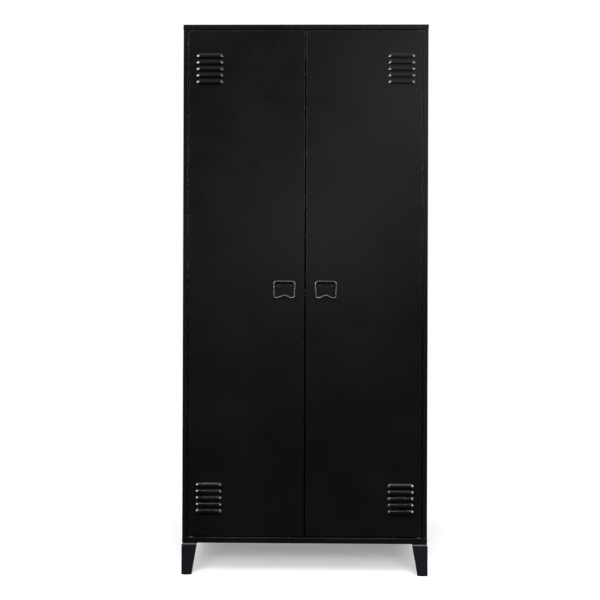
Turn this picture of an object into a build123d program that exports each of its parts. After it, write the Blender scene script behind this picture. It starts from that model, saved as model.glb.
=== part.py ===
from build123d import *
import os

# Two-door steel wardrobe locker, millimetres.
# +X is the user's right when facing the doors, -Y is the front, +Z is up.
# The origin is on the floor, at the centre of the overall box in X and Y.

# ---- driving dimensions -----------------------------------------------------
BODY_W = 800.0        # outside of the side panels
BODY_D = 500.0        # door face to the back panel's rear face
TOTAL_H = 1800.0
SHEET = 0.8           # panel gauge
LEG_SHEET = 2.0       # leg gauge
LID_OVER = 1.0        # the lid's skirt outside the panels
LID_BAND = 16.0       # lid's visible edge
GAP_TOP = 3.0         # lid to door
GAP_BOTTOM = 5.0      # door to base
GAP_SIDE = 3.0        # door to stile
GAP_CENTRE = 5.5      # door to door
STILE = 15.0          # folded front edge of a side panel
STILE_DEEP = 20.0
RAIL_H = 18.0         # base tray's skirt
LEG_H = 105.5
LEG_TOP_W = 51.5
LEG_FOOT_W = 33.0
LEG_PROUD = 2.0       # legs stand proud of the panels
GLIDE_H = 2.0

DOOR_T = 20.0
DOOR_R = 1.2          # rolled front edge
DOOR_LIP = 14.0       # inward lip at the back of the pan

LOUVRE_L = 88.0
LOUVRE_H = 12.5
LOUVRE_OUT = 5.5
LOUVRE_PITCH = 21.2
LOUVRE_N = 5
LOUVRE_INSET = 25.0   # from the door's hinge edge
LOUVRE_FIRST = 82.0   # first louvre's centre from the door's end

HANDLE_IN = 65.25     # handle centre from the meeting edge
HANDLE_Z = 960.0      # barrel centre
BARREL_R = 3.6
BARREL_L = 54.0
WIRE_R = 1.9
WIRE_CLEAR = 0.08
PLATE_LOW = -21.0     # hinge plate's lower edge, from the barrel centre
PLATE_T = 1.0

PIVOT_IN = 9.0        # pivot from the door's hinge edge
PIVOT_BACK = 7.0      # pivot behind the door's face
PIN_R = 3.0
PIN_CLEAR = 0.06

SHELF_Z = 1500.0
RAIL_Z = 1420.0
TUBE_R = 12.5

PROUD_FRONT = 2 * BARREL_R         # handle barrel in front of the door's face
PROUD_REAR = 2.0                   # screw heads behind the back panel

# ---- derived ----------------------------------------------------------------
F = -BODY_D / 2 + (PROUD_FRONT - PROUD_REAR) / 2   # plane of the door faces
B = F + BODY_D                                     # rear face of the back panel
HX = BODY_W / 2
RAIL_Z0 = LEG_H
FLOOR_Z = LEG_H + RAIL_H          # top of the base tray
LID_Z0 = TOTAL_H - LID_BAND
PANEL_TOP = TOTAL_H - SHEET
DOOR_Z0 = FLOOR_Z + GAP_BOTTOM
DOOR_Z1 = LID_Z0 - GAP_TOP
DOOR_H = DOOR_Z1 - DOOR_Z0
DOOR_X0 = -HX + STILE + GAP_SIDE  # left door's hinge edge
DOOR_X1 = -GAP_CENTRE / 2         # left door's meeting edge
DOOR_W = DOOR_X1 - DOOR_X0
PIVOT_X = DOOR_X0 + PIVOT_IN
PIVOT_Y = F + PIVOT_BACK
HANDLE_X = DOOR_X1 - HANDLE_IN
T = SHEET

os.makedirs("parts", exist_ok=True)


def block(x0, x1, y0, y1, z0, z1):
    """A box from its limits."""
    return Pos((x0 + x1) / 2, (y0 + y1) / 2, (z0 + z1) / 2) * Box(x1 - x0, y1 - y0, z1 - z0)


def rod(x, y, z0, z1, r):
    """A vertical cylinder."""
    return Pos(x, y, (z0 + z1) / 2) * Cylinder(r, z1 - z0)


def rod_x(x0, x1, y, z, r):
    return Pos((x0 + x1) / 2, y, z) * Rot(0, 90, 0) * Cylinder(r, x1 - x0)


def rod_y(x, y0, y1, z, r):
    return Pos(x, (y0 + y1) / 2, z) * Rot(90, 0, 0) * Cylinder(r, y1 - y0)


def flip(shape):
    """The same shape on the other side of the cabinet."""
    return mirror(shape, about=Plane.YZ)


def write(name, shape):
    solids = list(shape.solids()) if not isinstance(shape, list) else [s for p in shape for s in p.solids()]
    out = solids[0] if len(solids) == 1 else Compound(solids)
    export_step(out, f"parts/{name}.step")


def both(name_left, name_right, shape):
    write(name_left, shape)
    write(name_right, flip(shape))


# ---- side panels ------------------------------------------------------------
side = block(-HX, -HX + T, F, B, FLOOR_Z, PANEL_TOP)
side += block(-HX, -HX + STILE, F, F + T, FLOOR_Z, PANEL_TOP)                        # stile face
side += block(-HX + STILE - T, -HX + STILE, F, F + STILE_DEEP, FLOOR_Z, PANEL_TOP)   # stile return
side += block(-HX + 6, -HX + STILE, F + STILE_DEEP - T, F + STILE_DEEP, FLOOR_Z, PANEL_TOP)
side += block(-HX, -HX + 20, B - 2 * T, B - T, FLOOR_Z, PANEL_TOP)                   # rear flange
side += block(-HX, -HX + 16, F + 30, B - 25, FLOOR_Z, FLOOR_Z + T)                   # foot flange
side = fillet(side.edges().filter_by(Axis.Z).group_by(Axis.Y)[0].sort_by(Axis.X)[0:1], 0.7)
BASE_SCREWS = [(-HX + 9, F + 110), (-HX + 9, B - 110)]
for x, y in BASE_SCREWS:
    side -= rod(x, y, FLOOR_Z - 1, FLOOR_Z + 3, 2.2)
SOCKET_Y = (F + B) / 2
RAIL_SCREWS = [(SOCKET_Y - 19, RAIL_Z), (SOCKET_Y + 19, RAIL_Z)]
for y, z in RAIL_SCREWS:
    side -= rod_x(-HX - 1, -HX + 3, y, z, 2.1)
BACK_SCREW_Z = [180, 560, 960, 1360, 1740]
for z in BACK_SCREW_Z:
    side -= rod_y(-HX + 11, B - 3, B + 1, z, 1.9)
both("left_side_panel", "right_side_panel", side)

# ---- back panel -------------------------------------------------------------
WALL_HOLE_X, WALL_HOLE_Z, WALL_HOLE_R = 300.0, 1690.0, 3.0
back = block(-HX + T, HX - T, B - T, B, FLOOR_Z, PANEL_TOP)
for s in (-1, 1):
    back -= rod_y(s * WALL_HOLE_X, B - 5, B + 5, WALL_HOLE_Z, WALL_HOLE_R)
    for z in BACK_SCREW_Z:
        back -= rod_y(s * (HX - 11), B - 5, B + 5, z, 1.9)
LID_SCREW_X = [-330, 0, 330]
LID_SCREW_Z = LID_Z0 + 8
for x in LID_SCREW_X:
    back -= rod_y(x, B - 5, B + 5, LID_SCREW_Z, 1.9)
write("back_panel", back)

# ---- lid: folded tray turned down -------------------------------------------
lid = block(-HX - LID_OVER, HX + LID_OVER, F - LID_OVER, B + LID_OVER, LID_Z0, TOTAL_H)
lid = fillet(lid.edges().group_by(Axis.Z)[-1], 1.6)
lid = fillet(lid.edges().filter_by(Axis.Z), 1.2)
lid -= block(-HX, HX, F, B, LID_Z0 - 1, PANEL_TOP)
for x in LID_SCREW_X:
    lid -= rod_y(x, B - 5, B + 5, LID_SCREW_Z, 1.9)
write("lid", lid)

# ---- header rail: U channel between the stiles -------------------------------
HEAD_X = HX - STILE
HEAD_D = 45.0
header = block(-HEAD_X, HEAD_X, F, F + HEAD_D, LID_Z0, PANEL_TOP)
header -= block(-HEAD_X + 1.5, HEAD_X - 1.5, F + T, F + HEAD_D - T, LID_Z0 + 1.5, PANEL_TOP + 1)
for s in (-1, 1):
    header -= rod(s * PIVOT_X, PIVOT_Y, LID_Z0 - 5, LID_Z0 + 5, PIN_R)
write("header_rail", header)

# ---- base tray ---------------------------------------------------------------
tray = block(-HX, HX, F, B, RAIL_Z0, FLOOR_Z)
tray = fillet(tray.edges().group_by(Axis.Z)[-1].sort_by(Axis.Y)[0:1], 1.2)
tray -= block(-HX + T, HX - T, F + T, B - T, RAIL_Z0 - 1, FLOOR_Z - T)
for s in (-1, 1):
    tray -= rod(s * PIVOT_X, PIVOT_Y, FLOOR_Z - 5, FLOOR_Z + 5, PIN_R)
    for x, y in BASE_SCREWS:
        tray -= rod(s * x, y, FLOOR_Z - 3, FLOOR_Z + 3, 2.2)

# ---- legs: tapered angle with a shoulder and a bolting tongue ---------------------
LX = HX + LEG_PROUD
LY = F - LEG_PROUD
TONGUE_TOP = FLOOR_Z - 5.0
BOLT_Z = RAIL_Z0 + 9.0
BOLT_OFF = [14.0, 34.0]     # bolts along the side, from the tray's corner
BOLT_R = 3.0


def corner_leg():
    """Front left leg: outer corner at (-LX, LY)."""
    def face(w_top, w_foot):
        return make_face(Polyline((0, GLIDE_H), (w_foot, GLIDE_H), (w_top, RAIL_Z0), (0, RAIL_Z0), close=True))
    front = extrude(Plane(origin=(-LX, LY, 0), x_dir=(1, 0, 0), z_dir=(0, -1, 0)) * face(LEG_TOP_W, LEG_FOOT_W), -LEG_SHEET)
    flank = extrude(Plane(origin=(-LX, LY, 0), x_dir=(0, 1, 0), z_dir=(1, 0, 0)) * face(LEG_TOP_W, LEG_FOOT_W), LEG_SHEET)
    leg = front + flank
    leg = fillet(leg.edges().filter_by(Axis.Z).group_by(Axis.Y)[0].sort_by(Axis.X)[0:1], 1.8)
    # shoulder that carries the tray's skirt
    inner = LEG_SHEET + LEG_PROUD + T
    leg += block(-LX + 1.0, -LX + LEG_TOP_W - 2, LY + 1.0, LY + inner, RAIL_Z0 - 2, RAIL_Z0)
    leg += block(-LX + 1.0, -LX + inner, LY + 1.0, LY + LEG_TOP_W - 2, RAIL_Z0 - 2, RAIL_Z0)
    # tongue inside the skirt
    a, b = LEG_PROUD + T, inner
    leg += block(-LX + a, -LX + LEG_TOP_W - 4, LY + a, LY + b, RAIL_Z0 - 2, TONGUE_TOP)
    leg += block(-LX + a, -LX + b, LY + a, LY + LEG_TOP_W - 4, RAIL_Z0 - 2, TONGUE_TOP)
    # foot plate
    leg += block(-LX + 1, -LX + LEG_FOOT_W - 4, LY + 1, LY + LEG_FOOT_W - 4, GLIDE_H, GLIDE_H + 2)
    for off in BOLT_OFF:
        leg -= rod_x(-LX - 2, -LX + 12, F + off, BOLT_Z, BOLT_R)
    leg -= rod(-LX + 15, LY + 15, 0, 8, 3.0)
    return leg


def to_back(shape):
    """A front corner's shape at the matching rear corner."""
    return mirror(shape, about=Plane(origin=(0, (F + B) / 2, 0), z_dir=(0, 1, 0)))


leg = corner_leg()
write("front_left_leg", leg)
write("front_right_leg", flip(leg))
write("rear_left_leg", to_back(leg))
write("rear_right_leg", flip(to_back(leg)))

glide = rod(-LX + 15, LY + 15, 0, GLIDE_H, 11)
glide = fillet(glide.edges().group_by(Axis.Z)[0], 0.8)
glide += rod(-LX + 15, LY + 15, GLIDE_H, GLIDE_H + 5, 2.9)
write("foot_glides", [glide, flip(glide), to_back(glide), flip(to_back(glide))])

bolts, nuts = [], []
for off in BOLT_OFF:
    y = F + off
    bolt = rod_x(-HX - 2.0, -HX, y, BOLT_Z, 5.0)
    bolt = fillet(bolt.edges().group_by(Axis.X)[0], 1.6)
    bolt += rod_x(-HX, -HX + 10, y, BOLT_Z, BOLT_R - 0.05)
    x0 = -LX + LEG_SHEET + LEG_PROUD + T
    nut = Pos(x0 + 2.25, y, BOLT_Z) * Rot(0, 90, 0) * extrude(RegularPolygon(5.6, 6), 2.25, both=True)
    nut -= rod_x(x0 - 1, x0 + 8, y, BOLT_Z, BOLT_R + 0.02)
    for move in (lambda s: s, flip, to_back, lambda s: flip(to_back(s))):
        bolts.append(move(bolt))
        nuts.append(move(nut))
        tray -= move(rod_x(-HX - 1, -HX + 3, y, BOLT_Z, BOLT_R))
write("leg_bolts", bolts)
write("leg_nuts", nuts)
write("bottom_panel", tray)

# ---- shelf, rail ----------------------------------------------------------------
SHELF_F, SHELF_B = F + 30.0, B - 2.5
shelf = block(-HX + 3, HX - 3, SHELF_F, SHELF_B, SHELF_Z - 20, SHELF_Z)
shelf = fillet(shelf.edges().group_by(Axis.Z)[-1].sort_by(Axis.Y)[0:1], 1.2)
shelf -= block(-HX + 3 + T, HX - 3 - T, SHELF_F + T, SHELF_B - T, SHELF_Z - 21, SHELF_Z - T)
write("hat_shelf", shelf)
clips = []
for y in (F + 60, B - 60):
    clip = block(-HX + T, -HX + T + 1.5, y - 10, y + 10, SHELF_Z - 40, SHELF_Z - 20)
    clip += block(-HX + T, -HX + 18, y - 10, y + 10, SHELF_Z - 21.5, SHELF_Z - 20)
    clips += [clip, flip(clip)]
write("shelf_clips", clips)

tube = rod_x(-HX + 4, HX - 4, SOCKET_Y, RAIL_Z, TUBE_R) - rod_x(-HX, HX, SOCKET_Y, RAIL_Z, TUBE_R - 1.2)
write("hanging_rail", tube)
socket = Pos(-HX + T + 1.2, SOCKET_Y, RAIL_Z) * Rot(0, 90, 0) * Rot(0, 0, 90) * extrude(SlotOverall(56, 26), 1.2, both=True)
socket += rod_x(-HX + T, -HX + 16, SOCKET_Y, RAIL_Z, 15)
socket = socket - rod_x(-HX + 3.2, -HX + 20, SOCKET_Y, RAIL_Z, TUBE_R + 0.05)
SOCKET_FACE = -HX + T + 2.4
rail_screws = []
for y, z in RAIL_SCREWS:
    socket -= rod_x(-HX - 1, -HX + 6, y, z, 2.1)
    screw = rod_x(SOCKET_FACE, SOCKET_FACE + 2.2, y, z, 3.8)
    screw = fillet(screw.edges().group_by(Axis.X)[-1], 1.2)
    screw += rod_x(-HX, SOCKET_FACE, y, z, 2.05)
    rail_screws += [screw, flip(screw)]
write("rail_sockets", [socket, flip(socket)])
write("rail_screws", rail_screws)

# ---- pivots -------------------------------------------------------------------
top_pin = rod(PIVOT_X, PIVOT_Y, DOOR_Z1 - 16, LID_Z0 + 1.5, PIN_R) + rod(PIVOT_X, PIVOT_Y, LID_Z0 + 1.5, LID_Z0 + 4, 5)
low_pin = rod(PIVOT_X, PIVOT_Y, FLOOR_Z - T, DOOR_Z0 + 16, PIN_R) + rod(PIVOT_X, PIVOT_Y, FLOOR_Z - T - 2.5, FLOOR_Z - T, 5)
write("hinge_pins", [top_pin, low_pin, flip(top_pin), flip(low_pin)])
washer = rod(PIVOT_X, PIVOT_Y, FLOOR_Z, DOOR_Z0 - 1.4, 6.5) - rod(PIVOT_X, PIVOT_Y, FLOOR_Z - 1, FLOOR_Z + 5, PIN_R + 0.02)
write("hinge_washers", [washer, flip(washer)])

# ---- magnetic catches -----------------------------------------------------------
CATCH_X, CATCH_W, CATCH_H, CATCH_Y = -40.0, 44.0, 15.0, F + DOOR_T + 1.6
bodies, poles, screws = [], [], []
for z0, up in ((LID_Z0 - CATCH_H, 1), (FLOOR_Z, -1)):
    z1 = z0 + CATCH_H
    body = block(CATCH_X - CATCH_W / 2, CATCH_X + CATCH_W / 2, CATCH_Y + 0.6, CATCH_Y + 14, z0, z1)
    body = fillet(body.edges().filter_by(Axis.Z), 1.5)
    for dz in (3.0, 9.5):
        plate = block(CATCH_X - 16, CATCH_X + 16, CATCH_Y, CATCH_Y + 9, z0 + dz, z0 + dz + 2.5)
        body -= plate
        poles += [plate, flip(plate)]
    for dx in (-18.5, 18.5):
        x, y = CATCH_X + dx, CATCH_Y + 8
        if up > 0:
            s = rod(x, y, z0 - 1.6, z0, 3.2) + rod(x, y, z0, LID_Z0 + 1.5, 1.5)
            header_hole = rod(x, y, LID_Z0 - 1, LID_Z0 + 3, 1.52)
            header -= header_hole
            header -= flip(header_hole)
        else:
            s = rod(x, y, z1, z1 + 1.6, 3.2) + rod(x, y, FLOOR_Z - T, z1, 1.5)
            tray_hole = rod(x, y, FLOOR_Z - 3, FLOOR_Z + 3, 1.52)
            tray -= tray_hole
            tray -= flip(tray_hole)
        body -= rod(x, y, z0 - 1, z1 + 1, 1.52)
        screws += [s, flip(s)]
    bodies += [body, flip(body)]
write("catch_bodies", bodies)
write("catch_poles", poles)
write("catch_screws", screws)
write("header_rail", header)
write("bottom_panel", tray)

# ---- other cabinet screws -------------------------------------------------------
screws = []
for s in (-1, 1):
    for z in BACK_SCREW_Z:
        head = rod_y(s * (HX - 11), B, B + 2.0, z, 3.8)
        head = fillet(head.edges().group_by(Axis.Y)[-1], 1.2)
        screws.append(head + rod_y(s * (HX - 11), B - 2 * T, B, z, 1.85))
write("back_screws", screws)
screws = []
for x in LID_SCREW_X:
    head = rod_y(x, B + LID_OVER, B + LID_OVER + 1.0, LID_SCREW_Z, 3.6)
    screws.append(head + rod_y(x, B - T, B + LID_OVER, LID_SCREW_Z, 1.85))
write("lid_screws", screws)
screws = []
for s in (-1, 1):
    for x, y in BASE_SCREWS:
        head = rod(s * x, y, FLOOR_Z + T, FLOOR_Z + T + 2.2, 3.8)
        head = fillet(head.edges().group_by(Axis.Z)[-1], 1.2)
        screws.append(head + rod(s * x, y, FLOOR_Z - T, FLOOR_Z + T, 2.15))
write("base_screws", screws)

# ---- door pan --------------------------------------------------------------------
door = block(DOOR_X0, DOOR_X1, F, F + DOOR_T, DOOR_Z0, DOOR_Z1)
door = fillet(door.edges().group_by(Axis.Y)[0], DOOR_R)
hollow = block(DOOR_X0 + T, DOOR_X1 - T, F + T, F + DOOR_T - T, DOOR_Z0 + T, DOOR_Z1 - T)
hollow = fillet(hollow.edges().group_by(Axis.Y)[0], DOOR_R - T)
door -= hollow
door -= block(DOOR_X0 + DOOR_LIP, DOOR_X1 - DOOR_LIP, F + DOOR_T - 2, F + DOOR_T + 2, DOOR_Z0 + DOOR_LIP, DOOR_Z1 - DOOR_LIP)

LU = LOUVRE_OUT
HH = LOUVRE_H / 2


def hood_face(t, low):
    """Half section of a louvre in (outward, up); t is the wall taken off."""
    top = HH - t
    a = (0, top)
    m = (2.3 - 0.75 * t, HH - 1.05 - 0.85 * t)
    b = (3.7 - t, HH - 3.4 - 0.35 * t)
    c = (LU - t, -HH - low)
    return make_face(Line(a, (0, -HH - low)) + Line((0, -HH - low), c) + Line(c, b) + ThreePointArc(b, m, a))


def louvre(t, low):
    """Louvre body about its centre, on the plane y = 0, standing towards -Y."""
    half = LOUVRE_L / 2 - LU
    sect = hood_face(t, low)
    # section plane: local x is -Y, local y is +Z
    straight = extrude(Plane(origin=(-half, 0, 0), x_dir=(0, -1, 0), z_dir=(-1, 0, 0)) * sect, -2 * half)
    right = revolve(Plane(origin=(half, 0, 0), x_dir=(0, -1, 0), z_dir=(-1, 0, 0)) * sect, Axis((half, 0, 0), (0, 0, 1)), 90)
    left = revolve(Plane(origin=(-half, 0, 0), x_dir=(0, -1, 0), z_dir=(-1, 0, 0)) * sect, Axis((-half, 0, 0), (0, 0, 1)), -90)
    return straight + right + left


outer = louvre(0, 0)
inner = louvre(T, 0.5)
slot = block(-LOUVRE_L / 2 + LU, LOUVRE_L / 2 - LU, -0.2, T + 0.5, -HH - 0.5, HH - T)
cut = inner + slot
lx = DOOR_X0 + LOUVRE_INSET + LOUVRE_L / 2
places = []
for i in range(LOUVRE_N):
    d = LOUVRE_FIRST + i * LOUVRE_PITCH
    places += [(lx, F, DOOR_Z1 - d), (lx, F, DOOR_Z0 + d)]
for p in places:
    door += Pos(*p) * outer
for p in places:
    door -= Pos(*p) * cut

# rivet holes and pivot holes


def slab_y(x0, x1, z0, z1, y0, y1, r, taper=0):
    """A rounded rectangle in the door's plane, extruded from y0 to y1."""
    sk = Plane(origin=((x0 + x1) / 2, y0, (z0 + z1) / 2), x_dir=(1, 0, 0), z_dir=(0, 1, 0)) * RectangleRounded(x1 - x0, z1 - z0, r)
    return extrude(sk, y1 - y0, taper=taper)


RIVET_X = [HANDLE_X - 21.5, HANDLE_X + 21.5]
RIVET_Z = HANDLE_Z - 15.5
for x in RIVET_X:
    door -= rod_y(x, F - 2, F + 4, RIVET_Z, 1.5)
for z0, z1 in ((DOOR_Z0 - 1, DOOR_Z0 + 4), (DOOR_Z1 - 4, DOOR_Z1 + 1)):
    door -= rod(PIVOT_X, PIVOT_Y, z0, z1, 5.0)
STRIKE_RIVET = [CATCH_X - 18.0, CATCH_X + 18.0]
STRIKE_Z = [DOOR_Z1 - 7.5, DOOR_Z0 + 7.5]
for x in STRIKE_RIVET:
    for z in STRIKE_Z:
        door -= rod_y(x, F + DOOR_T - 3, F + DOOR_T + 3, z, 1.5)
both("left_door_panel", "right_door_panel", door)

# ---- rolled hinge plate with its barrel ---------------------------------------------------
BY = F - BARREL_R
barrel = rod_x(HANDLE_X - BARREL_L / 2, HANDLE_X + BARREL_L / 2, BY, HANDLE_Z, BARREL_R)
plate = slab_y(HANDLE_X - BARREL_L / 2, HANDLE_X + BARREL_L / 2, HANDLE_Z + PLATE_LOW, HANDLE_Z, F - PLATE_T, F, 2.5)
barrel += plate
barrel -= rod_x(HANDLE_X - BARREL_L, HANDLE_X + BARREL_L, BY, HANDLE_Z, WIRE_R + WIRE_CLEAR)
for x in RIVET_X:
    barrel -= rod_y(x, F - 4, F + 4, RIVET_Z, 1.5)
both("left_handle_barrel", "right_handle_barrel", barrel)
rivets = []
for x in RIVET_X:
    head = rod_y(x, F - 2.2, F - PLATE_T, RIVET_Z, 3.2)
    head = fillet(head.edges().group_by(Axis.Y)[0], 0.9)
    rivets.append(head + rod_y(x, F - PLATE_T, F + T, RIVET_Z, 1.45) + rod_y(x, F + T, F + T + 1.2, RIVET_Z, 2.6))
write("left_handle_rivets", rivets)
write("right_handle_rivets", [flip(r) for r in rivets])

# ---- bail: bent wire, its ends butt inside the barrel ----------------------------------------
route = [(-2.0, 0.0), (-29.8, 0.0), (-34.5, -6.2), (-32.6, -52.5), (-20.5, -52.5), (0.0, -43.8),
         (20.5, -52.5), (32.6, -52.5), (34.5, -6.2), (29.8, 0.0), (2.0, 0.0)]
bends = [3.0, 3.6, 4.2, 12.0, 5.0, 12.0, 4.2, 3.6, 3.0]
line = FilletPolyline(*[(HANDLE_X + x, BY, HANDLE_Z + z) for x, z in route], radius=bends)
bail = sweep(Plane(origin=line @ 0, z_dir=line % 0) * Circle(WIRE_R), path=line)
both("left_bail", "right_bail", bail)
print("bail volume", bail.volume, "expected", line.length * 3.14159265 * WIRE_R ** 2, "length", line.length)

# ---- door stiffener, hinge plates, bushes, strikes ------------------------------------------------
SX = (DOOR_X0 + DOOR_X1) / 2 + 6
hat = block(SX - 18, SX + 18, F + T, F + 15, DOOR_Z0 + 210, DOOR_Z1 - 210)
hat -= block(SX - 18 + T, SX + 18 - T, F + T - 1, F + 15 - T, DOOR_Z0 + 200, DOOR_Z1 - 200)
hat += block(SX - 30, SX - 18 + T, F + T, F + 2 * T, DOOR_Z0 + 210, DOOR_Z1 - 210)
hat += block(SX + 18 - T, SX + 30, F + T, F + 2 * T, DOOR_Z0 + 210, DOOR_Z1 - 210)
both("left_door_stiffener", "right_door_stiffener", hat)

plates, bushes = [], []
for z, up in ((DOOR_Z1, 1), (DOOR_Z0, -1)):
    a, b = sorted((z - up * T, z - up * (T + 2)))
    hp = block(DOOR_X0 + T + 0.2, DOOR_X0 + 40, F + T + 1.8, F + DOOR_T - T - 0.2, a, b)
    hp -= rod(PIVOT_X, PIVOT_Y, a - 1, b + 1, 5.0)
    plates.append(hp)
    a, b = sorted((z, z - up * 18))
    bush = rod(PIVOT_X, PIVOT_Y, a, b, 4.98)
    a, b = sorted((z, z + up * 1.0))
    bush += rod(PIVOT_X, PIVOT_Y, a, b, 6.2)
    bush -= rod(PIVOT_X, PIVOT_Y, min(z - up * 20, z + up * 5), max(z - up * 20, z + up * 5), PIN_R + PIN_CLEAR)
    bushes.append(bush)
write("left_hinge_plates", plates)
write("right_hinge_plates", [flip(p) for p in plates])
write("left_hinge_bushes", bushes)
write("right_hinge_bushes", [flip(p) for p in bushes])

strikes, rivets = [], []
for z in STRIKE_Z:
    st = slab_y(CATCH_X - 22, CATCH_X + 22, z - 6, z + 6, F + DOOR_T, F + DOOR_T + 1.0, 2.0)
    for x in STRIKE_RIVET:
        st -= rod_y(x, F + DOOR_T - 1, F + DOOR_T + 3, z, 1.5)
        rv = rod_y(x, F + DOOR_T - T - 1.0, F + DOOR_T - T, z, 2.6) + rod_y(x, F + DOOR_T - T, F + DOOR_T + 1.0, z, 1.48)
        rivets.append(rv)
    strikes.append(st)
write("left_strike_plates", strikes)
write("right_strike_plates", [flip(s) for s in strikes])
write("left_strike_rivets", rivets)
write("right_strike_rivets", [flip(s) for s in rivets])

print("door face y", F, "back y", B, "pivot", PIVOT_X, PIVOT_Y, "barrel", HANDLE_X, BY, HANDLE_Z)
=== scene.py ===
import bpy
import bmesh
import math
from mathutils import Vector, Matrix


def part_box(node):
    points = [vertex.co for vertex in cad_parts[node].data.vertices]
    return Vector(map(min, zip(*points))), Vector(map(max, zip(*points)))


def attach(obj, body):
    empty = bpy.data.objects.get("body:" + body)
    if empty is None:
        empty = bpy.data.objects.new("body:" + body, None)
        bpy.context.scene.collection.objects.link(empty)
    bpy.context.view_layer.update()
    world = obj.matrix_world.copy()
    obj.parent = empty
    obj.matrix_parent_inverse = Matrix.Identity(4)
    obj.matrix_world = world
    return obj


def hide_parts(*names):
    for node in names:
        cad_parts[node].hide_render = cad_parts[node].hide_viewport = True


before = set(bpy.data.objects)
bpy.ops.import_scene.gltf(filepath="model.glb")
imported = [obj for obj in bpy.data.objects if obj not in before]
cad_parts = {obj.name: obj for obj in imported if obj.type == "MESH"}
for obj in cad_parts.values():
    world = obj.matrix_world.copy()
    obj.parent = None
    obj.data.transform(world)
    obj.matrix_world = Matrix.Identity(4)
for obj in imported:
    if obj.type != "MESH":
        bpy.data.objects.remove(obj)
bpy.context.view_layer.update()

MM = 0.001
pi = math.pi


# ------------------------------------------------------------------ camera
side_lo, side_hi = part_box("left_side_panel")
rside_lo, rside_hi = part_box("right_side_panel")
lid_lo, lid_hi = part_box("lid")
tray_lo, tray_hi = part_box("bottom_panel")
F = side_lo.y                      # plane of the door faces
B = side_hi.y
HX = rside_hi.x
T = 0.8 * MM

CAM_D = 3.4
ZOOM = 1.0019
YAW = math.radians(0.93)
ROLL = math.radians(0.18)
PX = 1.8 / 550.2                   # metres per image pixel at the front plane
aim = Vector((-5.05 * PX, F, 0.9003))
cam_data = bpy.data.cameras.new("camera")
cam = bpy.data.objects.new("camera", cam_data)
bpy.context.scene.collection.objects.link(cam)
cam.location = aim + CAM_D * Vector((math.sin(YAW), -math.cos(YAW), 0))
cam.rotation_mode = "XYZ"
m = Matrix.Rotation(YAW, 4, "Z") @ Matrix.Rotation(pi / 2, 4, "X") @ Matrix.Rotation(ROLL, 4, "Z")
cam.rotation_euler = m.to_euler()
cam_data.sensor_width = 36.0
cam_data.lens = 36.0 * CAM_D / (600 * PX) * ZOOM
cam_data.clip_end = 100
bpy.context.scene.camera = cam
sc = bpy.context.scene
sc.view_settings.view_transform = "Standard"
sc.view_settings.look = "None"
sc.view_settings.exposure = 0.0


# --------------------------------------------------------------- materials
def new_mat(name):
    mat = bpy.data.materials.new(name)
    mat.use_nodes = True
    nt = mat.node_tree
    b = nt.nodes["Principled BSDF"]
    return mat, nt, b


def noise(nt, scale, detail=2.0, rough=0.5, coord=None, stretch=None):
    n = nt.nodes.new("ShaderNodeTexNoise")
    n.inputs["Scale"].default_value = scale
    n.inputs["Detail"].default_value = detail
    n.inputs["Roughness"].default_value = rough
    src = coord
    if stretch is not None:
        mp = nt.nodes.new("ShaderNodeMapping")
        mp.inputs["Scale"].default_value = stretch
        nt.links.new(coord, mp.inputs["Vector"])
        src = mp.outputs["Vector"]
    nt.links.new(src, n.inputs["Vector"])
    return n.outputs["Fac"]


def ramp(nt, fac, stops):
    r = nt.nodes.new("ShaderNodeValToRGB")
    while len(r.color_ramp.elements) < len(stops):
        r.color_ramp.elements.new(0.5)
    for e, (p, c) in zip(r.color_ramp.elements, stops):
        e.position = p
        e.color = c if len(c) == 4 else (*c, 1)
    nt.links.new(fac, r.inputs["Fac"])
    return r.outputs["Color"]


def maprange(nt, fac, a, b, lo=0.0, hi=1.0):
    n = nt.nodes.new("ShaderNodeMapRange")
    n.inputs["From Min"].default_value = lo
    n.inputs["From Max"].default_value = hi
    n.inputs["To Min"].default_value = a
    n.inputs["To Max"].default_value = b
    nt.links.new(fac, n.inputs["Value"])
    return n.outputs["Result"]


def bump(nt, height, strength, distance, normal=None):
    n = nt.nodes.new("ShaderNodeBump")
    n.inputs["Strength"].default_value = strength
    n.inputs["Distance"].default_value = distance
    nt.links.new(height, n.inputs["Height"])
    if normal is not None:
        nt.links.new(normal, n.inputs["Normal"])
    return n.outputs["Normal"]


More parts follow.
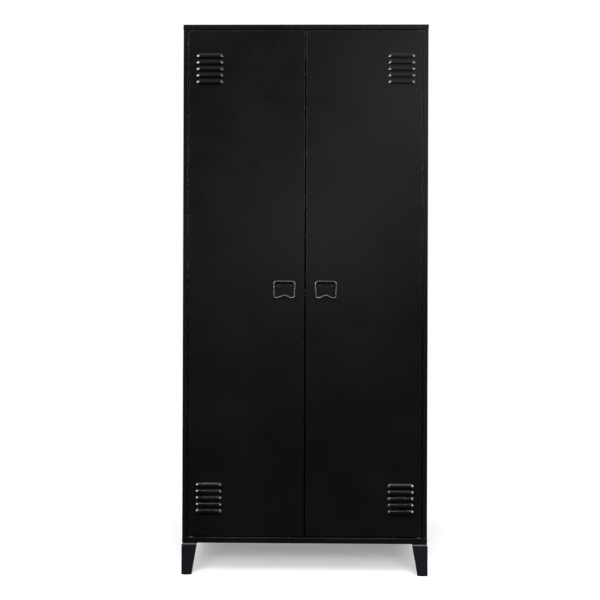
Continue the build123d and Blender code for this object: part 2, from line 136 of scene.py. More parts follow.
def powder(name, dark, light, rough_lo, rough_hi, spec=0.5, coat=0.0, wave=0.0009, grain=0.28, peel=0.25):
    """Satin powder coat: near-black film with a fine grain, orange peel and a slow waviness of the pressed sheet."""
    mat, nt, b = new_mat(name)
    tc = nt.nodes.new("ShaderNodeTexCoord")
    co = tc.outputs["Object"]
    cloud = noise(nt, 3.2, 4.0, 0.55, co)
    speck = noise(nt, 1500.0, 1.0, 0.5, co)
    mixn = nt.nodes.new("ShaderNodeMix")
    mixn.data_type = "FLOAT"
    mixn.inputs["Factor"].default_value = 0.35
    nt.links.new(cloud, mixn.inputs["A"])
    nt.links.new(speck, mixn.inputs["B"])
    col = ramp(nt, mixn.outputs["Result"], [(0.32, dark), (0.68, light)])
    nt.links.new(col, b.inputs["Base Color"])
    rsrc = noise(nt, 7.0, 5.0, 0.6, co)
    nt.links.new(maprange(nt, rsrc, rough_lo, rough_hi, 0.3, 0.7), b.inputs["Roughness"])
    n = None
    if wave:
        slow = noise(nt, 2.6, 1.0, 0.4, co, (1.0, 1.0, 0.62))
        n = bump(nt, slow, 1.0, wave)
    orange = noise(nt, 340.0, 2.0, 0.5, co)
    n = bump(nt, orange, peel, 0.00004, n)
    fine = noise(nt, 1300.0, 1.0, 0.5, co)
    n = bump(nt, fine, grain, 0.00003, n)
    nt.links.new(n, b.inputs["Normal"])
    b.inputs["Specular IOR Level"].default_value = spec
    if coat:
        b.inputs["Coat Weight"].default_value = coat
        b.inputs["Coat Roughness"].default_value = 0.30
    return mat


def metal(name, tint, rough_lo, rough_hi, brushed=None, metallic=1.0, scale=60.0):
    mat, nt, b = new_mat(name)
    tc = nt.nodes.new("ShaderNodeTexCoord")
    co = tc.outputs["Object"]
    f = noise(nt, scale, 4.0, 0.6, co, brushed)
    d = tuple(0.82 * c for c in tint)
    nt.links.new(ramp(nt, f, [(0.25, d), (0.75, tint)]), b.inputs["Base Color"])
    f2 = noise(nt, scale * 3.1, 3.0, 0.6, co, brushed)
    nt.links.new(maprange(nt, f2, rough_lo, rough_hi, 0.3, 0.7), b.inputs["Roughness"])
    nt.links.new(bump(nt, f2, 0.15, 0.00003), b.inputs["Normal"])
    b.inputs["Metallic"].default_value = metallic
    return mat


def plastic(name, tint, rough_lo, rough_hi):
    mat, nt, b = new_mat(name)
    tc = nt.nodes.new("ShaderNodeTexCoord")
    co = tc.outputs["Object"]
    f = noise(nt, 45.0, 3.0, 0.6, co)
    d = tuple(0.78 * c for c in tint)
    nt.links.new(ramp(nt, f, [(0.3, d), (0.7, tint)]), b.inputs["Base Color"])
    f2 = noise(nt, 1600.0, 2.0, 0.6, co)
    nt.links.new(maprange(nt, f2, rough_lo, rough_hi, 0.3, 0.7), b.inputs["Roughness"])
    nt.links.new(bump(nt, f2, 0.3, 0.00005), b.inputs["Normal"])
    return mat


M_BODY = powder("powder_black", (0.0011, 0.0011, 0.0012), (0.0023, 0.0023, 0.0025), 0.25, 0.31)
M_LEG = powder("powder_leg", (0.0038, 0.0042, 0.0057), (0.0062, 0.0066, 0.0087), 0.27, 0.33, wave=0.0)
M_HANDLE = powder("handle_enamel", (0.0034, 0.0034, 0.0036), (0.0058, 0.0058, 0.0061), 0.27, 0.33, spec=0.35, wave=0.0, grain=0.1, peel=0.2)
M_WIRE = powder("wire_enamel", (0.014, 0.014, 0.0147), (0.022, 0.022, 0.023), 0.30, 0.36, spec=1.0, coat=1.0, wave=0.0, grain=0.06, peel=0.12)
M_SCREW = powder("screw_black", (0.016, 0.016, 0.017), (0.028, 0.028, 0.030), 0.27, 0.36, wave=0.0, grain=0.15)
M_ZINC = metal("zinc_plate", (0.56, 0.57, 0.58), 0.24, 0.40, scale=90.0)
M_TUBE = metal("tube_chrome", (0.74, 0.74, 0.75), 0.07, 0.16, brushed=(0.03, 1.0, 1.0), scale=120.0)
M_PLASTIC = plastic("plastic_black", (0.022, 0.022, 0.023), 0.42, 0.60)
M_NYLON = plastic("nylon_black", (0.024, 0.024, 0.025), 0.38, 0.52)


# ------------------------------------------------------------ mesh helpers
class Mesh:
    def __init__(self):
        self.v, self.f = [], []

    def vert(self, p):
        self.v.append(tuple(p))
        return len(self.v) - 1

    def loop(self, pts):
        return [self.vert(p) for p in pts]

    def face(self, ids):
        out = []
        for i in ids:
            p = self.v[i]
            if not out or (Vector(p) - Vector(self.v[out[-1]])).length > 1.5e-6:
                out.append(i)
        if len(out) > 1 and (Vector(self.v[out[0]]) - Vector(self.v[out[-1]])).length <= 1.5e-6:
            out.pop()
        if len(out) >= 3:
            self.f.append(out)

    def strip(self, a, b, closed=False):
        n = len(a)
        for i in range(n if closed else n - 1):
            j = (i + 1) % n
            self.face([a[i], a[j], b[j], b[i]])

    def grid(self, rows):
        for a, b in zip(rows, rows[1:]):
            self.strip(a, b)


def make(name, mesh, mat, body, replaces=(), outward=None, thick=0.0, bevel=0.0, angle=40, smooth=True,
         bevel_first=False, weighted=True, segments=2):
    """Object from mesh data. outward is (face test point, direction) used to turn all normals outward."""
    me = bpy.data.meshes.new(name)
    me.from_pydata(mesh.v, [], mesh.f)
    bm = bmesh.new()
    bm.from_mesh(me)
    bmesh.ops.remove_doubles(bm, verts=bm.verts, dist=2e-6)
    bmesh.ops.recalc_face_normals(bm, faces=bm.faces)
    if outward is not None:
        p, d = Vector(outward[0]), Vector(outward[1])
        best = min(bm.faces, key=lambda f: ((f.calc_center_median() - p).length, f.index))
        if best.normal.dot(d) < 0:
            bmesh.ops.reverse_faces(bm, faces=bm.faces)
    bm.to_mesh(me)
    bm.free()
    for p in me.polygons:
        p.use_smooth = smooth
    me.materials.append(mat)
    o = bpy.data.objects.new(name, me)
    bpy.context.scene.collection.objects.link(o)
    if bevel and bevel_first:
        md = o.modifiers.new("round", "BEVEL")
        md.width, md.segments, md.limit_method, md.angle_limit = bevel, segments, "ANGLE", math.radians(angle)
    if thick:
        md = o.modifiers.new("gauge", "SOLIDIFY")
        md.thickness, md.offset, md.use_even_offset = thick, -1.0, True
        md.use_rim = True
    if bevel and not bevel_first:
        md = o.modifiers.new("round", "BEVEL")
        md.width, md.segments, md.limit_method, md.angle_limit = bevel, segments, "ANGLE", math.radians(angle)
        md.harden_normals = False
    if weighted:
        md = o.modifiers.new("normals", "WEIGHTED_NORMAL")
        md.mode = "FACE_AREA_WITH_ANGLE"
        md.keep_sharp = True
    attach(o, body)
    if replaces:
        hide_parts(*replaces)
    return o


def lines(*parts):
    """Sorted line positions from single values and (start, end, count) spans, without near duplicates."""
    out = []
    for p in parts:
        if isinstance(p, tuple):
            a, b, n = p
            out += [a + (b - a) * i / n for i in range(n + 1)]
        else:
            out.append(p)
    out.sort()
    keep = [out[0]]
    for x in out[1:]:
        if x - keep[-1] > 4e-5:
            keep.append(x)
    return keep


def pan(place, us, vs, R, depth, lip=0.0, r2=0.8 * MM, nb=7, nc=7, height=None):
    """Folded pan. place(u, v, w) maps to space, w is outward. us, vs are the flat face's lines; a v entry may be
    (v, side) for the two banks of a cut. height(u, v, side) lifts the face."""
    m = Mesh()
    rows = []
    vl = [x if isinstance(x, tuple) else (x, 0) for x in vs]
    for v, s in vl:
        rows.append(m.loop([place(u, v, height(u, v, s) if height else 0.0) for u in us]))
    for (a, ra), (b, rb) in zip(zip(vl, rows), zip(vl[1:], rows[1:])):
        if abs(a[0] - b[0]) > 1e-9:
            m.strip(ra, rb)
    u0, u1, v0, v1 = us[0], us[-1], vl[0][0], vl[-1][0]
    loop = []
    for u in us:
        loop.append((u, v0, 0, -1, 0))
    for k in range(1, nc):
        a = -pi / 2 + (pi / 2) * k / nc
        loop.append((u1, v0, math.cos(a), math.sin(a), (-1, 1)))
    for v, s in vl:
        loop.append((u1, v, 1, 0, 0))
    for k in range(1, nc):
        a = (pi / 2) * k / nc
        loop.append((u1, v1, math.cos(a), math.sin(a), (-1, -1)))
    for u in reversed(us):
        loop.append((u, v1, 0, 1, 0))
    for k in range(1, nc):
        a = pi / 2 + (pi / 2) * k / nc
        loop.append((u0, v1, math.cos(a), math.sin(a), (1, -1)))
    for v, s in reversed(vl):
        loop.append((u0, v, -1, 0, 0))
    for k in range(1, nc):
        a = pi + (pi / 2) * k / nc
        loop.append((u0, v0, math.cos(a), math.sin(a), (1, 1)))
    rings = [(0.0, 0.0)]
    for k in range(1, nb + 1):
        a = (pi / 2) * k / nb
        rings.append((R * math.sin(a), R * (1 - math.cos(a))))
    rings.append((R, R + 0.6 * MM))
    if lip:
        rings.append((R, depth - r2 - 0.6 * MM))
        rings.append((R, depth - r2))
        for k in range(1, 5):
            a = (pi / 2) * k / 4
            rings.append((R - r2 * (1 - math.cos(a)), depth - r2 + r2 * math.sin(a)))
        rings.append((R - r2 - 0.6 * MM, depth))
        rings.append((R - lip, depth))
    else:
        rings.append((R, depth - 0.5 * MM))
        rings.append((R, depth))

    def at(e, o, d):
        u, v, du, dv, c = e
        if o >= 0:
            return place(u + du * o, v + dv * o, -d)
        q = -o
        if c:
            return place(u + c[0] * q, v + c[1] * q, -d)
        if du == 0:
            return place(min(max(u, u0 + q), u1 - q), v + dv * o, -d)
        return place(u + du * o, min(max(v, v0 + q), v1 - q), -d)

    prev = None
    for o, d in rings:
        cur = m.loop([at(e, o, d) for e in loop])
        if prev is not None:
            m.strip(prev, cur, closed=True)
        prev = cur
    return m


def arc_path(points, radii, step=12):
    """Open 2-D polyline with rounded corners; radii for the inner points."""
    out = [Vector(points[0])]
    for i in range(1, len(points) - 1):
        p, a, b = Vector(points[i]), Vector(points[i - 1]), Vector(points[i + 1])
        r = radii[i - 1] if isinstance(radii, (list, tuple)) else radii
        d1, d2 = (a - p).normalized(), (b - p).normalized()
        ang = math.acos(max(-1, min(1, d1.dot(d2))))
        t = r / math.tan(ang / 2)
        s, e = p + d1 * t, p + d2 * t
        bis = (d1 + d2).normalized()
        c = p + bis * (r / math.sin(ang / 2))
        vs_, ve = s - c, e - c
        total = pi - ang
        n = max(3, int(round(step * total / (pi / 2))))
        axis_sign = None
        for k in range(n + 1):
            f = k / n
            q = (vs_ * math.sin((1 - f) * total) + ve * math.sin(f * total)) / math.sin(total)
            out.append(c + q)
    out.append(Vector(points[-1]))
    return out


def with_support(path, d=0.5 * MM):
    """Adds a support point close to the ends of long spans so shading stays flat."""
    out = [path[0]]
    for a, b in zip(path, path[1:]):
        L = (b - a).length
        if L > 4 * d:
            u = (b - a).normalized()
            out += [a + u * d, b - u * d]
        out.append(b)
    return out


def fold(path2d, place, ends):
    """Sheet section extruded between the levels in ends."""
    m = Mesh()
    rows = [m.loop([place(p[0], p[1], t) for p in path2d]) for t in ends]
    m.grid(rows)
    return m


def levels(a, b):
    d = 0.5 * MM
    return [a, a + d, b - d, b]


# ---------------------------------------------------------- cabinet shell
R_LID = 1.6 * MM
lx0, lx1, ly0, ly1 = lid_lo.x, lid_hi.x, lid_lo.y, lid_hi.y
us = lines(lx0 + R_LID, lx0 + R_LID + 0.4 * MM, lx1 - R_LID - 0.4 * MM, lx1 - R_LID)
vs = lines(ly0 + R_LID, ly0 + R_LID + 0.4 * MM, ly1 - R_LID - 0.4 * MM, ly1 - R_LID)
ztop = lid_hi.z
mesh = pan(lambda u, v, w: (u, v, ztop + w), us, vs, R_LID, ztop - lid_lo.z)
make("lid_shell", mesh, M_BODY, "cabinet", ["lid"], outward=((0, 0, ztop), (0, 0, 1)), thick=T)

R_TRAY = 0.7 * MM
tx0, tx1, ty0, ty1 = tray_lo.x, tray_hi.x, tray_lo.y, tray_hi.y
us = lines(tx0 + R_TRAY, tx0 + R_TRAY + 0.4 * MM, tx1 - R_TRAY - 0.4 * MM, tx1 - R_TRAY)
vs = lines(ty0 + R_TRAY, ty0 + R_TRAY + 0.4 * MM, ty1 - R_TRAY - 0.4 * MM, ty1 - R_TRAY)
zt = tray_hi.z
mesh = pan(lambda u, v, w: (u, v, zt + w), us, vs, R_TRAY, zt - tray_lo.z)
make("base_tray", mesh, M_BODY, "cabinet", ["bottom_panel"], outward=((0, 0, zt), (0, 0, 1)), thick=T)

STILE = 15 * MM
STILE_DEEP = 20 * MM
for name, s in (("left", 1), ("right", -1)):
    lo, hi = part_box(f"{name}_side_panel")
    pts = [(-HX + 6 * MM, F + STILE_DEEP), (-HX + STILE, F + STILE_DEEP), (-HX + STILE, F), (-HX, F),
           (-HX, B - T), (-HX + 20 * MM, B - T)]
    path = with_support(arc_path(pts, [1.0 * MM, 0.9 * MM, 0.9 * MM, 1.0 * MM], 6))
    mesh = fold(path, lambda x, y, t, s=s: (s * x, y, t), levels(lo.z, hi.z))
    make(f"{name}_side_sheet", mesh, M_BODY, "cabinet", [f"{name}_side_panel"],
         outward=((s * -HX, 0, 1.0), (-s, 0, 0)), thick=T)

sl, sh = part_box("hat_shelf")
R_SH = 1.2 * MM
us = lines(sl.x + R_SH, sl.x + R_SH + 0.4 * MM, sh.x - R_SH - 0.4 * MM, sh.x - R_SH)
vs = lines(sl.y + R_SH, sl.y + R_SH + 0.4 * MM, sh.y - R_SH - 0.4 * MM, sh.y - R_SH)
mesh = pan(lambda u, v, w: (u, v, sh.z + w), us, vs, R_SH, sh.z - sl.z)
make("hat_shelf_tray", mesh, M_BODY, "cabinet", ["hat_shelf"], outward=((0, 0, sh.z), (0, 0, 1)), thick=T)

rl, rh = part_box("hanging_rail")
rc = (rl + rh) / 2
rr = (rh.z - rl.z) / 2
mesh = Mesh()
rings = []
for x in levels(rl.x, rh.x):
    rings.append(mesh.loop([(x, rc.y + rr * math.cos(2 * pi * k / 56), rc.z + rr * math.sin(2 * pi * k / 56)) for k in range(56)]))
for a, b in zip(rings, rings[1:]):
    mesh.strip(a, b, closed=True)
make("hanging_tube", mesh, M_TUBE, "cabinet", ["hanging_rail"], outward=((0, rc.y, rh.z), (0, 0, 1)), thick=1.2 * MM)


# --------------------------------------------------------------------- legs
def leg_mesh(sx, sy, node):
    lo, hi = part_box(node)
    cx = lo.x if sx < 0 else hi.x        # outer corner
    cy = lo.y if sy < 0 else hi.y
    W_TOP, W_FOOT = 51.5 * MM, 33 * MM
    z0, z1 = lo.z, tray_lo.z
    ztip = hi.z
    off = 2.8 * MM
    zs = [z0, z0 + 0.4 * MM] + [z0 + (z1 - 7 * MM - z0) * k / 8 for k in range(1, 9)]
    joggle = [z1 - 7 * MM + 5.6 * MM * k / 8 for k in range(1, 9)]
    top = [z1 + 0.2 * MM, z1 + 1.0 * MM, ztip - 0.4 * MM, ztip]
    m = Mesh()
    rows = []
    for z in zs + joggle + top:
        f = min(max((z - 0.0) / z1, 0), 1)
        w = W_FOOT + (W_TOP - W_FOOT) * f
        q = min(max((z - (z1 - 7 * MM)) / (6.4 * MM), 0), 1)
        d = off * (q * q * (3 - 2 * q))
        if z > z1:
            w = W_TOP - 2.4 * MM
        pts = [(w, d), (d, d), (d, w)]
        path = arc_path(pts, [2.0 * MM], 8)
        a, b = path[0], path[-1]
        path = [a, a + Vector((-0.5 * MM, 0))] + path[1:-1] + [b + Vector((0, -0.5 * MM)), b]
        rows.append(m.loop([(cx - sx * p.x, cy - sy * p.y, z) for p in path]))
    m.grid(rows)
    return m, cx, cy


for node, sx, sy in (("front_left_leg", -1, -1), ("front_right_leg", 1, -1), ("rear_left_leg", -1, 1), ("rear_right_leg", 1, 1)):
    mesh, cx, cy = leg_mesh(sx, sy, node)
    make(node + "_sheet", mesh, M_LEG, "cabinet", [node],
         outward=((cx, cy - sy * 20 * MM, 0.05), (sx, 0, 0)), thick=2.0 * MM, bevel=0.35 * MM, angle=55)
    # folded-in foot plate
    gl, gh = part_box("foot_glides")
    fx, fy = cx - sx * 1.5 * MM, cy - sy * 1.5 * MM
    e = 26 * MM
    mesh = Mesh()
    x0, x1 = sorted((fx, fx - sx * e))
    y0, y1 = sorted((fy, fy - sy * e))
    zz = 4.0 * MM
    xs = lines(x0, x0 + 0.5 * MM, x1 - 0.5 * MM, x1)
    ys = lines(y0, y0 + 0.5 * MM, y1 - 0.5 * MM, y1)
    mesh.grid([mesh.loop([(x, y, zz) for x in xs]) for y in ys])
    make(node + "_foot", mesh, M_LEG, "cabinet", (), outward=((fx, fy, zz), (0, 0, 1)),
         thick=2.0 * MM, bevel=0.3 * MM, angle=55)


# -------------------------------------------------- lathe parts: screws etc.
def lathe(m, profile, centre, axis, n=32):
    """profile is [(radius, height)], revolved about axis through centre; a radius of 0 closes the form."""
    ax = Vector(axis).normalized()
    ref = Vector((0, 0, 1)) if abs(ax.z) < 0.9 else Vector((1, 0, 0))
    e1 = ax.cross(ref).normalized()
    e2 = ax.cross(e1).normalized()
    c = Vector(centre)
    prev = None
    for r, h in profile:
        if r < 1e-7:
            cur = [m.vert(c + ax * h)] * n
        else:
            cur = m.loop([c + ax * h + (e1 * math.cos(2 * pi * k / n) + e2 * math.sin(2 * pi * k / n)) * r for k in range(n)])
        if prev is not None:
            for i in range(n):
                j = (i + 1) % n
                ids = [prev[i], prev[j], cur[j], cur[i]]
                u = []
                for q in ids:
                    if q not in u:
                        u.append(q)
                if len(u) >= 3:
                    m.f.append(u)
        prev = cur
    return m


def dome(r, h, base=0.0, socket=0.0, sink=0.0):
    """Half-round head standing on height base, with an optional round recess."""
    pts = [(0.0, base), (r * 0.96, base), (r, base + 0.12 * h), (r, base + 0.22 * h)]
    for k in range(1, 8):
        a = (pi / 2) * k / 8
        pts.append((r * math.cos(a) if not socket else socket + (r - socket) * math.cos(a), base + 0.22 * h + 0.78 * h * math.sin(a)))
    if socket:
        pts += [(socket, base + h), (socket * 0.94, base + h - 0.1 * MM), (socket * 0.9, base + h - sink), (0.0, base + h - sink * 1.25)]
    else:
        pts.append((0.0, base + h))
    return pts


def cluster(node):
    """Centres of a CAD node's separate solids, with their boxes."""
    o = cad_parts[node]
    bm = bmesh.new()
    bm.from_mesh(o.data)
    bmesh.ops.remove_doubles(bm, verts=bm.verts, dist=1e-6)
    seen, out = set(), []
    for v in bm.verts:
        if v.index in seen:
            continue
        stack, pts = [v], []
        seen.add(v.index)
        while stack:
            q = stack.pop()
            pts.append(q.co.copy())
            for e in q.link_edges:
                w = e.other_vert(q)
                if w.index not in seen:
                    seen.add(w.index)
                    stack.append(w)
        lo = Vector((min(p.x for p in pts), min(p.y for p in pts), min(p.z for p in pts)))
        hi = Vector((max(p.x for p in pts), max(p.y for p in pts), max(p.z for p in pts)))
        out.append((lo, hi))
    bm.free()
    out.sort(key=lambda b: (round(b[0].x, 4), round(b[0].y, 4), round(b[0].z, 4)))
    return out


mesh = Mesh()
for lo, hi in cluster("leg_bolts"):
    c = (lo + hi) / 2
    s = -1 if c.x < 0 else 1
    base = s * HX
    head = dome(5.0 * MM, 2.0 * MM, 0.0, socket=2.2 * MM, sink=1.3 * MM)
    lathe(mesh, head, (base, c.y, c.z), (s, 0, 0))
    lathe(mesh, [(0.0, 0.1 * MM), (2.9 * MM, 0.1 * MM), (2.9 * MM, -9.6 * MM), (2.5 * MM, -10.0 * MM), (0.0, -10.0 * MM)], (base, c.y, c.z), (s, 0, 0), 24)
make("leg_bolt_heads", mesh, M_SCREW, "cabinet", ["leg_bolts"], weighted=False)

mesh = Mesh()
for lo, hi in cluster("back_screws"):
    c = (lo + hi) / 2
    lathe(mesh, dome(3.8 * MM, 2.0 * MM, 0.0, socket=1.5 * MM, sink=1.0 * MM), (c.x, B, c.z), (0, 1, 0))
    lathe(mesh, [(0.0, 0.1 * MM), (1.8 * MM, 0.1 * MM), (1.8 * MM, -1.6 * MM), (0.0, -1.6 * MM)], (c.x, B, c.z), (0, 1, 0), 20)
make("back_screw_heads", mesh, M_SCREW, "cabinet", ["back_screws"], weighted=False)

mesh = Mesh()
for lo, hi in cluster("lid_screws"):
    c = (lo + hi) / 2
    lathe(mesh, dome(3.6 * MM, 1.0 * MM, 0.0, socket=1.4 * MM, sink=0.6 * MM), (c.x, lid_hi.y, c.z), (0, 1, 0))
    lathe(mesh, [(0.0, 0.1 * MM), (1.8 * MM, 0.1 * MM), (1.8 * MM, -1.7 * MM), (0.0, -1.7 * MM)], (c.x, lid_hi.y, c.z), (0, 1, 0), 20)
make("lid_screw_heads", mesh, M_SCREW, "cabinet", ["lid_screws"], weighted=False)


# -------------------------------------------------------------------- doors
L_L, L_H, L_OUT, L_PITCH, L_N = 88 * MM, 12.5 * MM, 5.4 * MM, 21.2 * MM, 5
L_INSET, L_FIRST = 25 * MM, 82 * MM
L_END = 9.6 * MM     # run of the sloping ends
L_TOP = 3.8 * MM     # run of the shoulder along the top
L_CR = L_END         # corner radius of the outline


def smooth01(t):
    t = min(max(t, 0.0), 1.0)
    return t * t * (3 - 2 * t)


def ramp01(t):
    """Straight ramp with a tight foot and a wider rounded crest."""
    a, b = 0.14, 0.24
    t = min(max(t, 0.0), 1.0)
    top = 1.0 - a / 2 - b / 2
    if t < a:
        y = t * t / (2 * a)
    elif t < 1 - b:
        y = t - a / 2
    else:
        u = 1 - t
        y = top - u * u / (2 * b)
    return y / top


def louvre_height(a, v):
    """Height of one louvre at a along it from its middle and v above its mouth."""
    hx = L_L / 2
    if abs(a) >= hx or v < 0 or v >= L_H:
        return 0.0
    px, pz = abs(a) - (hx - L_CR), v - (L_H - L_CR)
    if px > 0 and pz > 0:
        turn = math.degrees(math.atan2(pz, px))
        d = L_CR - math.hypot(px, pz)
        q = d / (L_END + (L_TOP - L_END) * smooth01((turn - 55) / 35))
    elif px > 0:
        q = (hx - abs(a)) / L_END
    else:
        q = (L_H - v) / L_TOP
    if q <= 0:
        return 0.0
    return L_OUT * ramp01(q) * (0.86 + 0.14 * (1 - v / L_H))


def door_mesh(node, hinge_sign):
    lo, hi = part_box(node)
    x0, x1, z0, z1 = lo.x, hi.x, lo.z, hi.z
    R = 0.9 * MM
    edge = x0 if hinge_sign < 0 else x1
    cx = edge - hinge_sign * (L_INSET + L_L / 2)
    rows = []
    for k in range(L_N):
        d = L_FIRST + k * L_PITCH
        rows += [z1 - d - L_H / 2, z0 + d - L_H / 2]      # mouth levels
    rows.sort()
    xa, xb = cx - L_L / 2, cx + L_L / 2
    us = lines(x0 + R, x0 + R + 0.4 * MM, (xa - 0.5 * MM, xa + 9.5 * MM, 18), (xa + 9.5 * MM, xb - 9.5 * MM, 8),
               (xb - 9.5 * MM, xb + 0.5 * MM, 18), x1 - R - 0.4 * MM, x1 - R)
    vs = [z0 + R, z0 + R + 0.4 * MM]
    zr = []
    for mth in rows:
        zr.append((mth, -1))
        zr.append((mth, 1))
        for k in range(1, 5):
            zr.append((mth + (L_H - L_TOP - 0.4 * MM) * k / 4, 0))
        for k in range(1, 17):
            zr.append((mth + (L_H - L_TOP - 0.4 * MM) + (L_TOP + 0.4 * MM) * k / 16, 0))
        zr.append((mth - 0.4 * MM, 0))
        zr.append((mth + L_H + 0.4 * MM, 0))
    zr.sort()
    vs = vs + zr + [z1 - R - 0.4 * MM, z1 - R]

    def height(u, v, s):
        for mth in rows:
            if mth - 1e-9 <= v < mth + L_H:
                if abs(v - mth) < 1e-9 and s < 0:
                    return 0.0
                return louvre_height(u - cx, max(v - mth, 0.0))
        return 0.0

    return pan(lambda u, v, w: (u, F - w, v), us, vs, R, 20 * MM, lip=14 * MM, height=height)


for name, s in (("left", -1), ("right", 1)):
    mesh = door_mesh(f"{name}_door_panel", s)
    make(f"{name}_door_skin", mesh, M_BODY, f"{name}_door", [f"{name}_door_panel"],
         outward=((s * 0.2, F, 1.2), (0, -1, 0)), thick=T)

    # hat-section stiffener
    lo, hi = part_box(f"{name}_door_stiffener")
    c = (lo.x + hi.x) / 2
    y0, y1 = lo.y, hi.y
    pts = [(-30, y0 / MM + 0.8), (-18, y0 / MM + 0.8), (-18, y1 / MM), (18, y1 / MM), (18, y0 / MM + 0.8), (30, y0 / MM + 0.8)]
    pts = [(a * MM, b * MM) for a, b in pts]
    path = with_support(arc_path(pts, [1.2 * MM] * 4, 5))
    mesh = fold(path, lambda x, y, t, c=c: (c + x, y, t), levels(lo.z, hi.z))
    make(f"{name}_stiffener_sheet", mesh, M_BODY, f"{name}_door", [f"{name}_door_stiffener"],
         outward=((c, y1, 1.0), (0, 1, 0)), thick=T)

    # rolled hinge plate
    lo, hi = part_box(f"{name}_handle_barrel")
    hx = (lo.x + hi.x) / 2
    hw = (hi.x - lo.x) / 2
    br = (hi.y - lo.y) / 2
    bz = hi.z - br
    by = hi.y - br
    zlow = lo.z
    rc_ = 2.5 * MM
    prof = []
    for k in range(0, 9):
        a = (pi / 2) * k / 8
        prof.append((F, zlow + rc_ * (1 - math.cos(a)), hw - rc_ + rc_ * math.sin(a)))
    prof.append((F, zlow + rc_ + 0.4 * MM, hw))
    prof.append((F, bz - 0.5 * MM, hw))
    n = 40
    end = math.radians(292)
    for k in range(n + 1):
        a = end * k / n
        prof.append((by + br * math.cos(a), bz + br * math.sin(a), hw))
    mesh = Mesh()
    rows = []
    for y, z, w in prof:
        xs = [-w, -w + 0.4 * MM] + [(-w + 0.4 * MM) + (2 * w - 0.8 * MM) * j / 8 for j in range(1, 8)] + [w - 0.4 * MM, w]
        rows.append(mesh.loop([(hx + x, y, z) for x in xs]))
    mesh.grid(rows)
    make(f"{name}_hinge_roll", mesh, M_HANDLE, f"{name}_door", [f"{name}_handle_barrel"],
         outward=((hx, by, hi.z), (0, 0, 1)), thick=0.95 * MM, bevel=0.22 * MM, angle=55)

    mesh = Mesh()
    for lo, hi in cluster(f"{name}_handle_rivets"):
        c = (lo + hi) / 2
        if hi.y - lo.y < 3.0 * MM:
            continue
        lathe(mesh, dome(3.2 * MM, 1.2 * MM), (c.x, F - 1.0 * MM, c.z), (0, -1, 0))
        lathe(mesh, [(0.0, 0.1 * MM), (1.42 * MM, 0.1 * MM), (1.42 * MM, -1.9 * MM), (2.6 * MM, -1.9 * MM), (2.5 * MM, -2.7 * MM), (1.6 * MM, -3.0 * MM), (0.0, -3.0 * MM)],
              (c.x, F - 1.0 * MM, c.z), (0, -1, 0), 24)
    make(f"{name}_rivet_heads", mesh, M_HANDLE, f"{name}_door", [f"{name}_handle_rivets"], weighted=False)

    # bail: bent wire
    route = [(-2.0, 0.0), (-29.8, 0.0), (-34.5, -6.2), (-32.6, -52.5), (-20.5, -52.5), (0.0, -43.8),
             (20.5, -52.5), (32.6, -52.5), (34.5, -6.2), (29.8, 0.0), (2.0, 0.0)]
    bends = [3.0, 3.6, 4.2, 12.0, 5.0, 12.0, 4.2, 3.6, 3.0]
    path = arc_path([(a * MM, b * MM) for a, b in route], [r * MM for r in bends], 14)
    pts = []
    for a, b in zip(path, path[1:]):
        k = max(1, int((b - a).length / (3.0 * MM)))
        for i in range(k):
            pts.append(a + (b - a) * i / k)
    pts.append(path[-1])
    pts = [p for i, p in enumerate(pts) if i == 0 or (p - pts[i - 1]).length > 1e-6]
    wr = 1.88 * MM
    mesh = Mesh()
    prev = None
    N = 20
    first = last = None
    for i, p in enumerate(pts):
        a = pts[max(0, i - 1)]
        b = pts[min(len(pts) - 1, i + 1)]
        t = (b - a).normalized()
        nrm = Vector((-t.y, t.x))
        cur = mesh.loop([(hx + p.x + nrm.x * wr * math.cos(2 * pi * k / N), by + wr * math.sin(2 * pi * k / N),
                          bz + p.y + nrm.y * wr * math.cos(2 * pi * k / N)) for k in range(N)])
        if prev is not None:
            mesh.strip(prev, cur, closed=True)
        else:
            first = cur
        prev = cur
    last = prev
    mesh.f.append(list(reversed(first)))
    mesh.f.append(list(last))
    make(f"{name}_bail_wire", mesh, M_WIRE, f"{name}_bail", [f"{name}_bail"], weighted=False)


# ------------------------------------------------- carried-over CAD nodes
keep = {
    "back_panel": M_BODY, "header_rail": M_BODY, "shelf_clips": M_BODY, "leg_nuts": M_ZINC, "foot_glides": M_PLASTIC,
    "rail_sockets": M_PLASTIC, "rail_screws": M_ZINC, "hinge_pins": M_ZINC, "hinge_washers": M_PLASTIC,
    "catch_bodies": M_PLASTIC, "catch_poles": M_ZINC, "catch_screws": M_ZINC, "base_screws": M_ZINC,
}
for name in ("left", "right"):
    keep.update({f"{name}_hinge_plates": M_ZINC, f"{name}_hinge_bushes": M_NYLON, f"{name}_strike_plates": M_ZINC,
                 f"{name}_strike_rivets": M_ZINC})
for node, mat in keep.items():
    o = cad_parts[node]
    o.data.materials.clear()
    o.data.materials.append(mat)
    for p in o.data.polygons:
        p.material_index = 0


# -------------------------------------------------------- floor and lighting
fm = Mesh()
S = 14.0
fm.grid([fm.loop([(x, y, 0.0) for x in lines((-S, S, 8))]) for y in lines((-S, S, 8))])
fme = bpy.data.meshes.new("floor")
fme.from_pydata(fm.v, [], fm.f)
floor = bpy.data.objects.new("floor", fme)
bpy.context.scene.collection.objects.link(floor)
fmat = bpy.data.materials.new("floor_white")
fmat.use_nodes = True
fnt = fmat.node_tree
fnt.nodes.clear()
fout = fnt.nodes.new("ShaderNodeOutputMaterial")
fdif = fnt.nodes.new("ShaderNodeBsdfDiffuse")
fdif.inputs["Color"].default_value = (0.9, 0.9, 0.9, 1)
# painted fill light: an even 0.22 glow added to the lit floor raises the shadow under the cabinet; from 0.6 m to 1 m
# from the origin the floor fades into a flat 1.05 glow
floor_painted_fill = fnt.nodes.new("ShaderNodeEmission")
floor_painted_fill.inputs["Strength"].default_value = 0.22
ffar = fnt.nodes.new("ShaderNodeEmission")
ffar.inputs["Strength"].default_value = 1.05
fadd = fnt.nodes.new("ShaderNodeAddShader")
fmix = fnt.nodes.new("ShaderNodeMixShader")
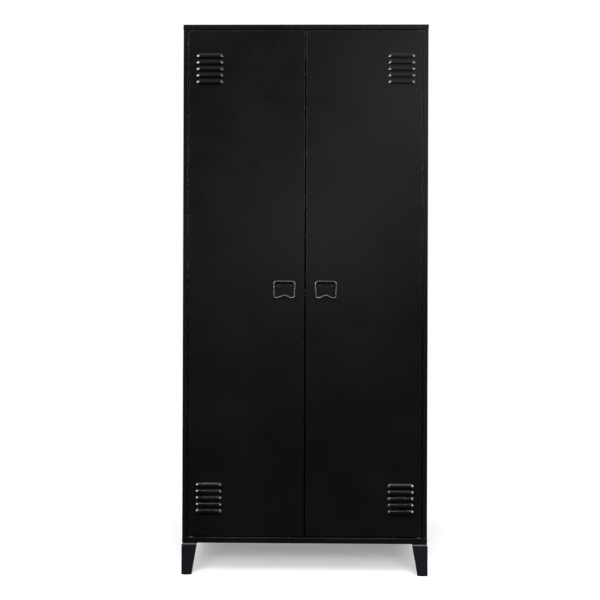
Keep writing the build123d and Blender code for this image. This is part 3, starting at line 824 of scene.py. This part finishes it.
ftc = fnt.nodes.new("ShaderNodeTexCoord")
flen = fnt.nodes.new("ShaderNodeVectorMath")
flen.operation = "LENGTH"
fnt.links.new(ftc.outputs["Object"], flen.inputs[0])
ffac = maprange(fnt, flen.outputs["Value"], 0.0, 1.0, 0.60, 1.00)
fnt.links.new(fdif.outputs[0], fadd.inputs[0])
fnt.links.new(floor_painted_fill.outputs[0], fadd.inputs[1])
fnt.links.new(ffac, fmix.inputs[0])
fnt.links.new(fadd.outputs[0], fmix.inputs[1])
fnt.links.new(ffar.outputs[0], fmix.inputs[2])
fnt.links.new(fmix.outputs[0], fout.inputs["Surface"])
fme.materials.append(fmat)
floor.visible_glossy = False
floor.visible_diffuse = False

world = bpy.data.worlds.new("world")
bpy.context.scene.world = world
world.use_nodes = True
wn = world.node_tree
wn.nodes.clear()
out = wn.nodes.new("ShaderNodeOutputWorld")
bg_seen = wn.nodes.new("ShaderNodeBackground")
bg_seen.inputs["Color"].default_value = (1, 1, 1, 1)
bg_seen.inputs["Strength"].default_value = 1.0
bg_lit = wn.nodes.new("ShaderNodeBackground")
bg_lit.inputs["Color"].default_value = (0.96, 0.98, 1.0, 1)
bg_lit.inputs["Strength"].default_value = 0.30
bg_gloss = wn.nodes.new("ShaderNodeBackground")
bg_gloss.inputs["Color"].default_value = (0.92, 0.96, 1.0, 1)
bg_gloss.inputs["Strength"].default_value = 0.009
lp = wn.nodes.new("ShaderNodeLightPath")
mx1 = wn.nodes.new("ShaderNodeMixShader")
mx2 = wn.nodes.new("ShaderNodeMixShader")
wn.links.new(lp.outputs["Is Glossy Ray"], mx1.inputs[0])
wn.links.new(bg_lit.outputs[0], mx1.inputs[1])
wn.links.new(bg_gloss.outputs[0], mx1.inputs[2])
wn.links.new(lp.outputs["Is Camera Ray"], mx2.inputs[0])
wn.links.new(mx1.outputs[0], mx2.inputs[1])
wn.links.new(bg_seen.outputs[0], mx2.inputs[2])
wn.links.new(mx2.outputs[0], out.inputs["Surface"])


def area(name, loc, target, size_x, size_y, power, color=(1, 1, 1), glossy=True, spread=180):
    d = bpy.data.lights.new(name, "AREA")
    d.shape = "RECTANGLE"
    d.size, d.size_y = size_x, size_y
    d.energy = power
    d.color = color
    d.spread = math.radians(spread)
    o = bpy.data.objects.new(name, d)
    bpy.context.scene.collection.objects.link(o)
    o.location = loc
    o.rotation_euler = (Vector(target) - Vector(loc)).to_track_quat("-Z", "Y").to_euler()
    o.visible_camera = False
    o.visible_glossy = glossy
    return o


floor_only = bpy.data.collections.new("floor_only")
floor_only.objects.link(floor)
floor_light = area("overhead", (0, -0.7, 4.1), (0, -0.3, 0), 1.4, 1.4, 85)
floor_light.light_linking.receiver_collection = floor_only
area("top_front", (0, -1.5, 3.9), (0, F, 1.0), 3.0, 0.7, 50)
area("side_left", (-3.2, -1.5, 3.2), (0, F, 1.0), 1.1, 1.1, 165, (0.95, 0.98, 1.0))
area("side_right", (3.2, -1.5, 3.2), (0, F, 1.0), 1.1, 1.1, 79)
area("key_left", (-2.1, -3.4, 2.25), (0, F, 0.9), 0.9, 0.9, 2, (0.95, 0.98, 1.0))
area("key_right", (1.9, -3.0, 2.25), (0, F, 0.9), 0.9, 0.9, 12)
area("front_top", (0, -2.9, 3.3), (0, F, 0.15), 1.8, 0.5, 2.1, spread=50)
area("low_line", (0, -1.5, 2.6), (0, F, 0.1), 2.4, 0.3, 7, spread=50)
area("low_left", (-3.2, -1.5, 1.7), (0, F, 0.05), 0.9, 0.9, 10, (0.95, 0.98, 1.0), spread=50)
area("low_right", (3.2, -1.5, 1.7), (0, F, 0.05), 0.9, 0.9, 10, spread=50)
area("front_mid", (0.12, -3.75, 1.42), (0.08, F, 1.15), 0.80, 0.70, 0.95)
area("front_low", (-0.35, -3.75, 1.15), (0.0, F, 1.05), 0.80, 0.70, 0.25)
area("front_high", (0.68, -3.75, 2.28), (0.3, F, 1.65), 0.70, 0.70, 1.25)
area("rear", (0.6, 3.8, 2.0), (0, 0, 0.9), 1.6, 2.0, 60)
no_floor = bpy.data.collections.new("no_floor")
no_floor.objects.link(floor)
no_floor.collection_objects[0].light_linking.link_state = "EXCLUDE"
for name in ("rear", "low_line", "low_left", "low_right", "side_left", "side_right", "key_left", "key_right"):
    bpy.data.objects[name].light_linking.receiver_collection = no_floor
for o in (area("floor_low", (0, -3.4, 1.18), (0, F, 0.0), 3.0, 0.8, 125),
          area("floor_mid", (0, -2.6, 2.15), (0, F, 0.0), 3.0, 2.0, 65)):
    o.light_linking.receiver_collection = floor_only
